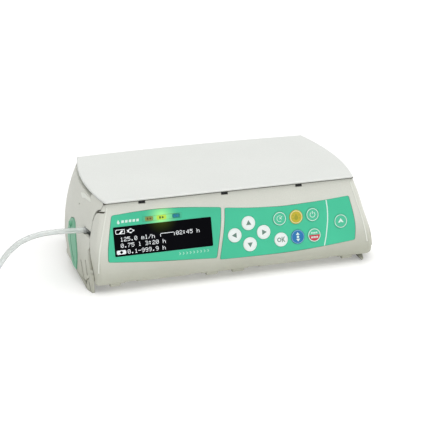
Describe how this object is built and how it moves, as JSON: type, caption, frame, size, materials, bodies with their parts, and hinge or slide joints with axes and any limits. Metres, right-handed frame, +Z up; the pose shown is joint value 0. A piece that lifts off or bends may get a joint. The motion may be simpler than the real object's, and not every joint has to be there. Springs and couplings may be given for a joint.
{
  "type": "infusion pump",
  "caption": "Volumetric infusion pump with a leaning drop-down front door, dark display, round keypad, stacking rails, slide-out battery and a short clear patient line.",
  "frame": {"origin": "on the table plane under the rails, midway across the width and midway between the front of the door and the middle of the bowed back", "axes": "+X to the pump's right side seen from the front, +Y from the door towards the back, +Z up"},
  "size_m": [0.3614, 0.124, 0.068],
  "materials": {
    "shell": "fine matt spark texture",
    "cover": "satin",
    "chassis": "satin",
    "dark": "satin",
    "green": "printed foil",
    "keywhite": "printed foil",
    "keygreen": "printed foil",
    "keyyellow": "printed foil",
    "keyblue": "printed foil",
    "keyred": "printed foil",
    "window": "clear",
    "lens": "translucent",
    "lcd": "dark display",
    "pcb": "solder mask",
    "steel": "turned",
    "alu": "milled",
    "brass": "hobbed",
    "lever": "satin",
    "line": "translucent soft",
    "white": "satin"
  },
  "bodies": {
    "pump_body": {"main_housing": "shell", "top_cover": "cover", "front_chassis": "chassis", "left_rail": "shell", "right_rail": "shell", "circuit_board": "pcb", "power_port": "dark", "accessory_port": "dark", "drive_motor": "steel", "cam_cradle": "alu", "air_sensor": "dark", "pressure_sensor": "white", "hinge_rod": "steel", "clamp_rail": "alu", "base_screw_1": "steel", "base_screw_2": "steel", "base_screw_3": "steel", "base_screw_4": "steel", "pump_segment": "line", "upstream_connector": "white", "patient_line": "line", "line_coil": "line", "line_tie": "white", "luer_connector": "white"},
    "battery": {"battery_pack": "dark", "battery_cover": "shell"},
    "battery_latch": {"battery_latch": "lever"},
    "cam_drive": {"camshaft": "steel", "cam_gear": "brass"},
    "motor_pinion": {"motor_pinion": "steel"},
    "latch": {"latch_shaft": "steel"},
    "stack_lock": {"stack_lock": "lever"},
    "door": {"door_shell": "shell", "door_backplate": "chassis", "left_panel": "green", "right_panel": "green", "display_window": "window", "led_lens": "lens", "display_screen": "lcd", "display_board": "pcb"},
    "platen": {"platen": "white"},
    "finger_1": {"finger_1": "white"},
    "finger_2": {"finger_2": "white"},
    "finger_3": {"finger_3": "white"},
    "finger_4": {"finger_4": "white"},
    "finger_5": {"finger_5": "white"},
    "finger_6": {"finger_6": "white"},
    "finger_7": {"finger_7": "white"},
    "key_up": {"key_up": "keywhite"},
    "key_down": {"key_down": "keywhite"},
    "key_left": {"key_left": "keywhite"},
    "key_right": {"key_right": "keywhite"},
    "key_ok": {"key_ok": "keywhite"},
    "key_clear": {"key_clear": "keygreen"},
    "key_bolus": {"key_bolus": "keyyellow"},
    "key_power": {"key_power": "keygreen"},
    "key_connect": {"key_connect": "keyblue"},
    "key_start_stop": {"key_start_stop": "keyred"},
    "key_open": {"key_open": "keygreen"}
  },
  "joints": [
    {"name": "door_hinge", "type": "hinge", "parent": "pump_body", "child": "door", "pos_m": [0, -0.0545, 0.009], "axis": [1, 0, 0], "range_deg": [0, 95]},
    {"name": "cam_spin", "type": "hinge", "parent": "pump_body", "child": "cam_drive", "pos_m": [0, -0.01, 0.041], "axis": [1, 0, 0], "continuous": true},
    {"name": "pinion_spin", "type": "hinge", "parent": "pump_body", "child": "motor_pinion", "pos_m": [-0.04, 0.00018, 0.03082], "axis": [1, 0, 0], "continuous": true},
    {"name": "finger_1_slide", "type": "slide", "parent": "pump_body", "child": "finger_1", "axis": [0, -1, 0], "range_m": [0, 0.0028], "stiffness_N_per_m": 300, "springref_m": -0.001},
    {"name": "finger_2_slide", "type": "slide", "parent": "pump_body", "child": "finger_2", "axis": [0, -1, 0], "range_m": [0, 0.0028], "stiffness_N_per_m": 300, "springref_m": -0.001},
    {"name": "finger_3_slide", "type": "slide", "parent": "pump_body", "child": "finger_3", "axis": [0, -1, 0], "range_m": [0, 0.0028], "stiffness_N_per_m": 300, "springref_m": -0.001},
    {"name": "finger_4_slide", "type": "slide", "parent": "pump_body", "child": "finger_4", "axis": [0, -1, 0], "range_m": [0, 0.0028], "stiffness_N_per_m": 300, "springref_m": -0.001, "deforming": ["pump_segment"]},
    {"name": "finger_5_slide", "type": "slide", "parent": "pump_body", "child": "finger_5", "axis": [0, -1, 0], "range_m": [0, 0.0028], "stiffness_N_per_m": 300, "springref_m": -0.001},
    {"name": "finger_6_slide", "type": "slide", "parent": "pump_body", "child": "finger_6", "axis": [0, -1, 0], "range_m": [0, 0.0028], "stiffness_N_per_m": 300, "springref_m": -0.001},
    {"name": "finger_7_slide", "type": "slide", "parent": "pump_body", "child": "finger_7", "axis": [0, -1, 0], "range_m": [0, 0.0028], "stiffness_N_per_m": 300, "springref_m": -0.001},
    {"name": "platen_slide", "type": "slide", "parent": "door", "child": "platen", "axis": [0, -1, 0], "range_m": [0, 0.0012], "stiffness_N_per_m": 2500, "springref_m": -0.0006},
    {"name": "latch_turn", "type": "hinge", "parent": "pump_body", "child": "latch", "pos_m": [0, -0.02, 0.022], "axis": [1, 0, 0], "range_deg": [0, 60]},
    {"name": "stack_lock_press", "type": "slide", "parent": "pump_body", "child": "stack_lock", "axis": [1, 0, 0], "range_m": [0, 0.002], "stiffness_N_per_m": 800, "springref_m": -0.001},
    {"name": "battery_slide", "type": "slide", "parent": "pump_body", "child": "battery", "axis": [0, 1, 0], "range_m": [0, 0.055]},
    {"name": "battery_latch_slide", "type": "slide", "parent": "battery", "child": "battery_latch", "axis": [1, 0, 0], "range_m": [0, 0.005], "stiffness_N_per_m": 150, "springref_m": -0.002},
    {"name": "key_up_press", "type": "slide", "parent": "door", "child": "key_up", "axis": [0, 0.9635, -0.2676], "range_m": [0, 0.0006], "stiffness_N_per_m": 1500, "springref_m": -0.0006},
    {"name": "key_down_press", "type": "slide", "parent": "door", "child": "key_down", "axis": [0, 0.9635, -0.2676], "range_m": [0, 0.0006], "stiffness_N_per_m": 1500, "springref_m": -0.0006},
    {"name": "key_left_press", "type": "slide", "parent": "door", "child": "key_left", "axis": [0, 0.9635, -0.2676], "range_m": [0, 0.0006], "stiffness_N_per_m": 1500, "springref_m": -0.0006},
    {"name": "key_right_press", "type": "slide", "parent": "door", "child": "key_right", "axis": [0, 0.9635, -0.2676], "range_m": [0, 0.0006], "stiffness_N_per_m": 1500, "springref_m": -0.0006},
    {"name": "key_ok_press", "type": "slide", "parent": "door", "child": "key_ok", "axis": [0, 0.9635, -0.2676], "range_m": [0, 0.0006], "stiffness_N_per_m": 1500, "springref_m": -0.0006},
    {"name": "key_clear_press", "type": "slide", "parent": "door", "child": "key_clear", "axis": [0, 0.9635, -0.2676], "range_m": [0, 0.0006], "stiffness_N_per_m": 1500, "springref_m": -0.0006},
    {"name": "key_bolus_press", "type": "slide", "parent": "door", "child": "key_bolus", "axis": [0, 0.9635, -0.2676], "range_m": [0, 0.0006], "stiffness_N_per_m": 1500, "springref_m": -0.0006},
    {"name": "key_power_press", "type": "slide", "parent": "door", "child": "key_power", "axis": [0, 0.9635, -0.2676], "range_m": [0, 0.0006], "stiffness_N_per_m": 1500, "springref_m": -0.0006},
    {"name": "key_connect_press", "type": "slide", "parent": "door", "child": "key_connect", "axis": [0, 0.9635, -0.2676], "range_m": [0, 0.0006], "stiffness_N_per_m": 1500, "springref_m": -0.0006},
    {"name": "key_start_stop_press", "type": "slide", "parent": "door", "child": "key_start_stop", "axis": [0, 0.9635, -0.2676], "range_m": [0, 0.0006], "stiffness_N_per_m": 1500, "springref_m": -0.0006},
    {"name": "key_open_press", "type": "slide", "parent": "door", "child": "key_open", "axis": [0, 0.9635, -0.2676], "range_m": [0, 0.0006], "stiffness_N_per_m": 1500, "springref_m": -0.0006}
  ],
  "couplings": [
    {"joint": "pinion_spin", "follows": "cam_spin", "ratio": -2}
  ]
}
